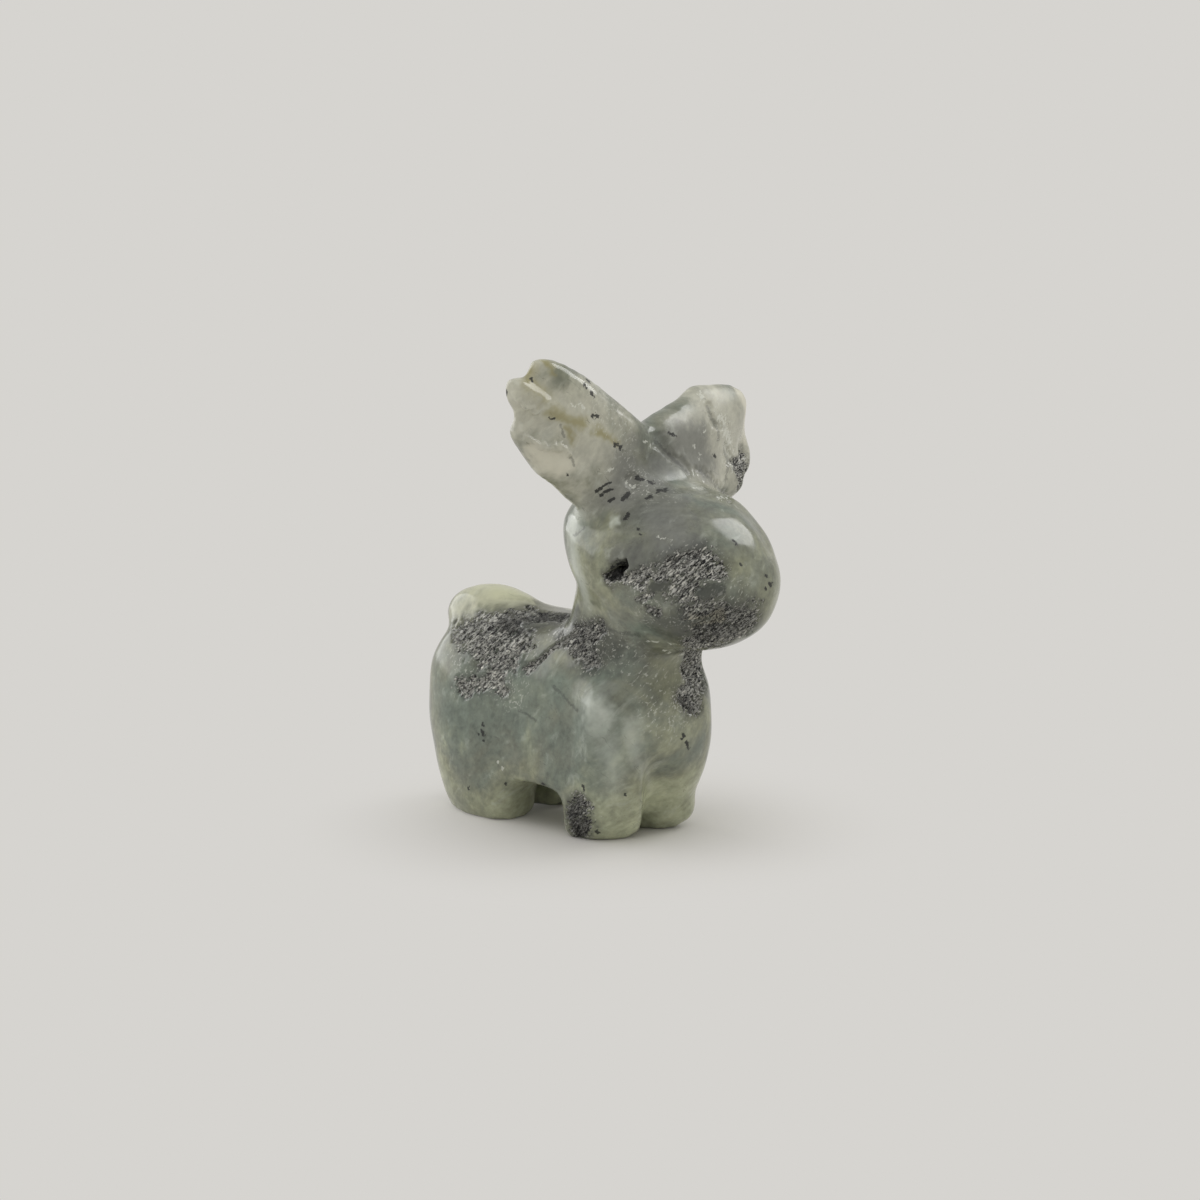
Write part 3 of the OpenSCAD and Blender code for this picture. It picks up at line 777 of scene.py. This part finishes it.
    # Polished islands in it, and black crystals
    colour = blend(times(frayed("worn"), shares["worn"]), colour, finish["shadow"])
    black = larger(frayed("fleck"), frayed("pit"))
    colour = blend(times(black, shares["black"]), colour, finish["crystal"])
    tree.links.new(colour, shader.inputs["Base Color"])
    matt = plus(times(zone("grey"), finish["greyMatt"]), times(zone("matt"), finish["halfMatt"]))
    polish = plus(plus(finish["polish"], swing(made["mottle"], waveSpread, finish["uneven"])), matt)
    rough = put(tree, "ShaderNodeMix", {0: larger(broken, black), 2: polish, 3: finish["broken"]},
                data_type="FLOAT").outputs[0]
    tree.links.new(rough, shader.inputs["Roughness"])
    relief = {"Height": times(broken, plus(flakes, made["threads"])), "Strength": 1,
              "Distance": flake["bump"] * mm}
    tree.links.new(put(tree, "ShaderNodeBump", relief).outputs[0], shader.inputs["Normal"])
    return material


labradorite = stoneMaterial()


def breakSurface(whole):
    tree = grainTree()
    maker = whole.modifiers.new("roughGrain", "NODES")
    maker.node_group = tree
    for socket in tree.interface.items_tree:
        if socket.in_out == "INPUT" and socket.name in grain:
            maker[socket.identifier] = float(grain[socket.name])
        elif socket.name == "Material":
            maker[socket.identifier] = labradorite
    applyModifiers(whole)


breakSurface(whole)
print("surface broken")


# One closed piece for each region; all share the shading of the whole stone, so no cut shows
def rimLoops(faces):
    ways = np.stack([faces, np.roll(faces, -1, axis=1)], axis=2).reshape(-1, 2)
    code = ways.min(1) * (faces.max() + 1) + ways.max(1)
    first, count = np.unique(code, return_index=True, return_counts=True)[1:]
    rim = {}
    for start, end in ways[first[count == 1]]:
        rim.setdefault(start, []).append(end)
    loops = []
    while rim:
        start = next(iter(rim))
        loop = [start]
        while True:
            nexts = rim[loop[-1]]
            follow = nexts.pop()
            if not nexts:
                del rim[loop[-1]]
            if follow == start:
                break
            loop.append(follow)
        loops.append(loop)
    return loops


def capMap(loops):
    spots = []
    for place, loop in enumerate(loops):
        middle = np.array([(place + 0.5) / flatMap["cutPlaces"], flatMap["cutMiddle"]])
        for turn in range(len(loop)):
            for corner in (turn + 1, turn):
                angle = corner / len(loop) * math.tau
                spots.append(middle + flatMap["cutRadius"] * np.array([math.cos(angle), math.sin(angle)]))
            spots.append(middle)
    return np.array(spots)


def closedPiece(name, points, normals, faces, flat, fields):
    loops = rimLoops(faces)
    places = np.vstack([points] + [points[loop].mean(0)[None] for loop in loops])
    caps = [(after, before, len(points) + k) for k, loop in enumerate(loops)
            for before, after in zip(loop, loop[1:] + loop[:1])]
    mesh = bpy.data.meshes.new(name)
    mesh.from_pydata(places * mm, [], faces.tolist() + caps)
    mapped = flat.reshape(-1, 2) * [1, 1 - flatMap["strip"]] + [0, flatMap["strip"]]
    mapped = np.vstack([mapped, capMap(loops)]).astype(np.float32)
    mesh.uv_layers.new(name="OFBake").data.foreach_set("uv", mapped.ravel())
    for key, values in fields.items():
        kept = np.concatenate([values, [values[loop].mean() for loop in loops]])
        mesh.attributes.new(key, "FLOAT", "POINT").data.foreach_set("value", kept.astype(np.float32))
    mesh.polygons.foreach_set("use_smooth", np.arange(len(mesh.polygons)) < len(faces))
    shading = [normals[faces].reshape(-1, 3)]
    for face in list(mesh.polygons)[len(faces):]:
        shading.append(np.repeat(np.array(face.normal)[None], 3, axis=0))
    mesh.normals_split_custom_set(np.vstack(shading).tolist())
    mesh.materials.append(labradorite)
    print(name, len(faces) * 2 + len(caps), "triangles,", len(loops), "cuts")
    return mesh


def cutPieces(whole):
    mesh = whole.data
    points, normals = readPoints(mesh), readNormals(mesh)
    corners = readValues(mesh.loops, "vertex_index", int).reshape(-1, 4)
    region = readValues(mesh.attributes["region"].data, "value", int)
    flat = readValues(mesh.uv_layers["OFBake"].data, "uv", width=2).reshape(-1, 4, 2)
    fields = {name: readValues(mesh.attributes[name].data, "value", np.float32)
              for name in [*{**marks, **seen}, "rough"]}
    for index, (node, (name, slot)) in enumerate(regions.items()):
        mine = region == index
        used, faces = np.unique(corners[mine], return_inverse=True)
        ownFields = {key: values[used] for key, values in fields.items()}
        piece = closedPiece(name, points[used], normals[used], faces.reshape(-1, 4), flat[mine], ownFields)
        stone = bpy.data.objects.new(name, piece)
        bpy.context.collection.objects.link(stone)
        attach(stone, "root")
        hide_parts(node)
    bpy.data.objects.remove(whole)


cutPieces(whole)

# Floor, pale out to the horizon, and soft light; lengths in metres
stage = {"floor": shade(214, 212, 208), "size": 9, "roughness": 0.8, "near": 0.004, "far": 0.028,
         "world": 0.75, "aim": (0, 0, 0.02)}
lamps = {  # softboxes: azimuth and elevation in degrees, distance and width in metres, power in watts
    "left": (-76, 16, 0.5, 0.6, 1.4),
    "front": (20, 50, 0.9, 0.8, 1.1),
    "right": (162, 36, 0.5, 0.28, 0.7),
    "top": (60, 80, 0.9, 1, 1.2),
}


def seenRay(tree):
    path = put(tree, "ShaderNodeLightPath").outputs
    ray = arithmetic(tree, "MAXIMUM", path["Is Camera Ray"], path["Is Glossy Ray"])
    return arithmetic(tree, "MAXIMUM", ray, path["Is Transmission Ray"])


def layFloor():
    mesh = bpy.data.meshes.new("floor")
    corners = [(-1, -1, 0), (1, -1, 0), (1, 1, 0), (-1, 1, 0)]
    mesh.from_pydata([Vector(corner) * stage["size"] for corner in corners], [], [(0, 1, 2, 3)])
    floor = bpy.data.objects.new("floor", mesh)
    bpy.context.collection.objects.link(floor)
    pale = bpy.data.materials.new("paleFloor")
    pale.use_nodes = True
    tree = pale.node_tree
    matt = tree.nodes["Principled BSDF"]
    matt.inputs["Base Color"].default_value = stage["floor"]
    matt.inputs["Roughness"].default_value = stage["roughness"]
    place = put(tree, "ShaderNodeTexCoord").outputs["Object"]
    away = put(tree, "ShaderNodeVectorMath", {0: place}, operation="LENGTH").outputs["Value"]
    glow = put(tree, "ShaderNodeEmission", {"Color": stage["floor"], "Strength": 1})
    share = arithmetic(tree, "MULTIPLY", span(tree, away, stage["near"], stage["far"]), seenRay(tree))
    both = put(tree, "ShaderNodeMixShader", {0: share, 1: matt.outputs[0], 2: glow.outputs[0]})
    tree.links.new(both.outputs[0], tree.nodes["Material Output"].inputs["Surface"])
    mesh.materials.append(pale)


def lightStudio():
    for name, (azimuth, elevation, distance, width, power) in lamps.items():
        way = direction(azimuth, elevation)
        light = bpy.data.lights.new(name, "AREA")
        light.shape = "DISK"
        light.size = width
        light.energy = power
        softbox = bpy.data.objects.new(name, light)
        softbox.location = way * distance + Vector(stage["aim"])
        softbox.rotation_euler = way.to_track_quat("Z", "Y").to_euler()
        bpy.context.collection.objects.link(softbox)
    world = bpy.data.worlds.new("studio")
    world.use_nodes = True
    tree = world.node_tree
    sky = tree.nodes["Background"]
    sky.inputs["Color"].default_value = stage["floor"]
    ray = put(tree, "ShaderNodeLightPath").outputs["Is Camera Ray"]
    strength = put(tree, "ShaderNodeMix", {0: ray, 2: stage["world"], 3: 1}, data_type="FLOAT").outputs[0]
    tree.links.new(strength, sky.inputs["Strength"])
    bpy.context.scene.world = world


layFloor()
lightStudio()
print("floor and light set")
